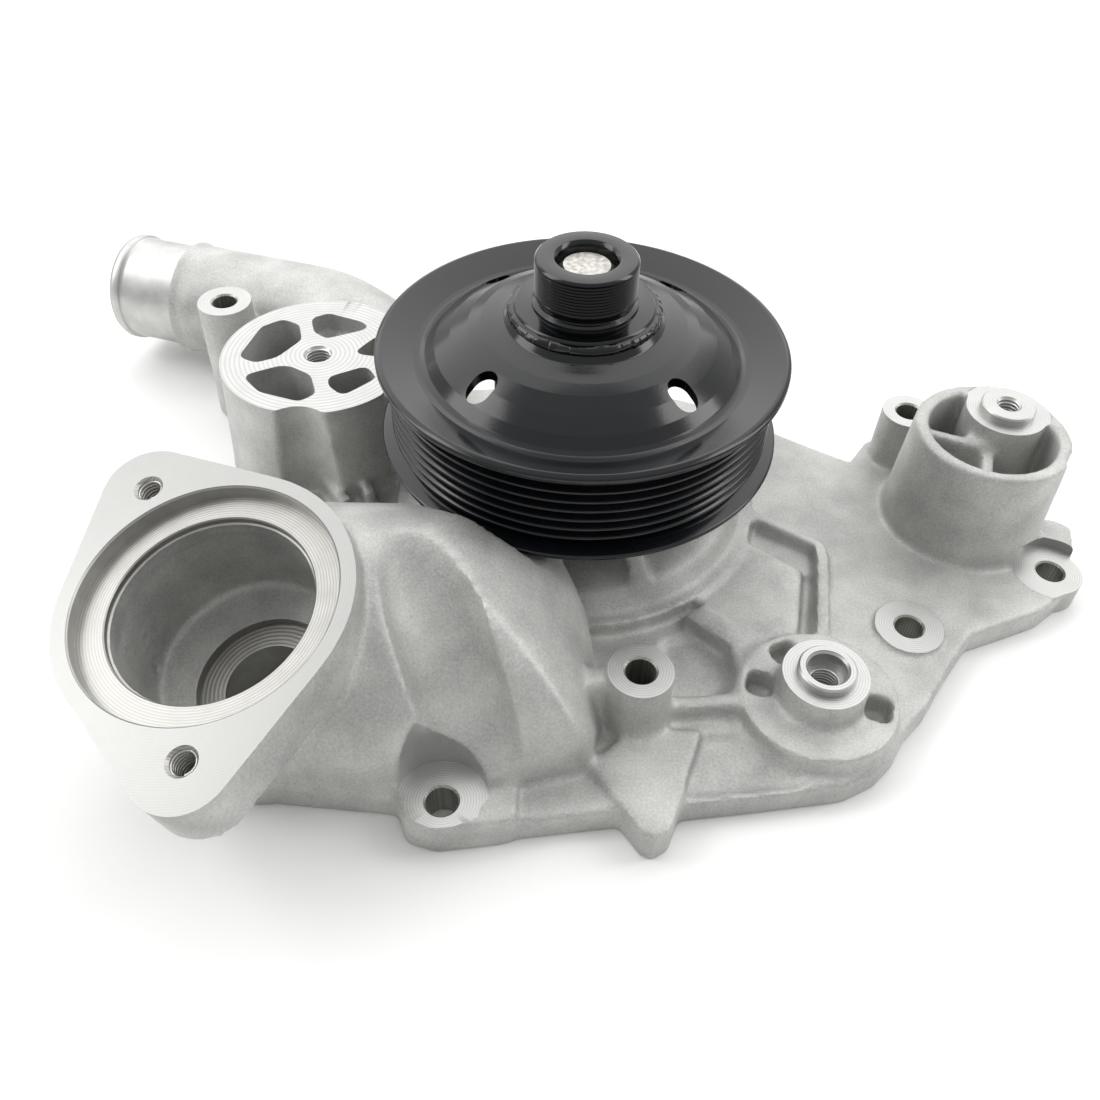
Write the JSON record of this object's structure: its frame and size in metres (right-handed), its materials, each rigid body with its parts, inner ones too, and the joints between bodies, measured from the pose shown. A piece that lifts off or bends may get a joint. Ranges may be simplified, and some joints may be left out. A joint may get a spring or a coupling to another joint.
{
  "type": "engine coolant pump",
  "caption": "Belt-driven engine coolant pump with cast body, grooved pulley, thermostat seat, hose spigot, tensioner drum and idler seats.",
  "frame": {"origin": "pump shaft axis where it meets the rear mounting face", "axes": "+Z along the shaft away from the engine, towards the pulley; +X towards the idler tower; +Y away from the thermostat flange"},
  "size_m": [0.363, 0.2809, 0.107],
  "materials": {
    "cast_aluminium": "sand-cast, faces milled",
    "pulley_coat": "black e-coat, semi-gloss",
    "hub_coat": "black e-coat over turned steel",
    "weld_steel": "coated weld bead",
    "shaft_steel": "ground bearing steel",
    "bearing_steel": "ground bearing steel",
    "ball_steel": "polished",
    "cage_nylon": "glass-filled nylon",
    "seal_rubber": "moulded",
    "seal_steel": "drawn stainless",
    "spring_steel": "drawn stainless wire",
    "carbon": "lapped carbon graphite",
    "ceramic": "lapped ceramic",
    "impeller_steel": "pressed stainless"
  },
  "bodies": {
    "pump_body": {"housing": "cast_aluminium", "bearing_outer_ring": "bearing_steel", "front_bearing_seal": "seal_rubber", "rear_bearing_seal": "seal_rubber", "seal_cup": "seal_steel", "seal_bellows": "seal_rubber", "seal_spring": "spring_steel", "carbon_ring": "carbon"},
    "rotor": {"pulley": "pulley_coat", "hub": "hub_coat", "hub_weld": "weld_steel", "pump_shaft": "shaft_steel", "slinger": "seal_steel", "ceramic_ring": "ceramic", "ceramic_ring_boot": "seal_rubber", "impeller": "impeller_steel"},
    "front_ball_row": {"front_balls": "ball_steel", "front_ball_cage": "cage_nylon"},
    "rear_ball_row": {"rear_balls": "ball_steel", "rear_ball_cage": "cage_nylon"}
  },
  "joints": [
    {"name": "pulley_spin", "type": "hinge", "parent": "pump_body", "child": "rotor", "pos_m": [0, 0, 0.05], "axis": [0, 0, 1], "continuous": true},
    {"name": "front_row_spin", "type": "hinge", "parent": "pump_body", "child": "front_ball_row", "pos_m": [0, 0, 0.063], "axis": [0, 0, 1], "continuous": true},
    {"name": "rear_row_spin", "type": "hinge", "parent": "pump_body", "child": "rear_ball_row", "pos_m": [0, 0, 0.038], "axis": [0, 0, 1], "continuous": true}
  ],
  "couplings": [
    {"joint": "front_row_spin", "follows": "pulley_spin", "ratio": 0.339},
    {"joint": "rear_row_spin", "follows": "pulley_spin", "ratio": 0.339}
  ]
}
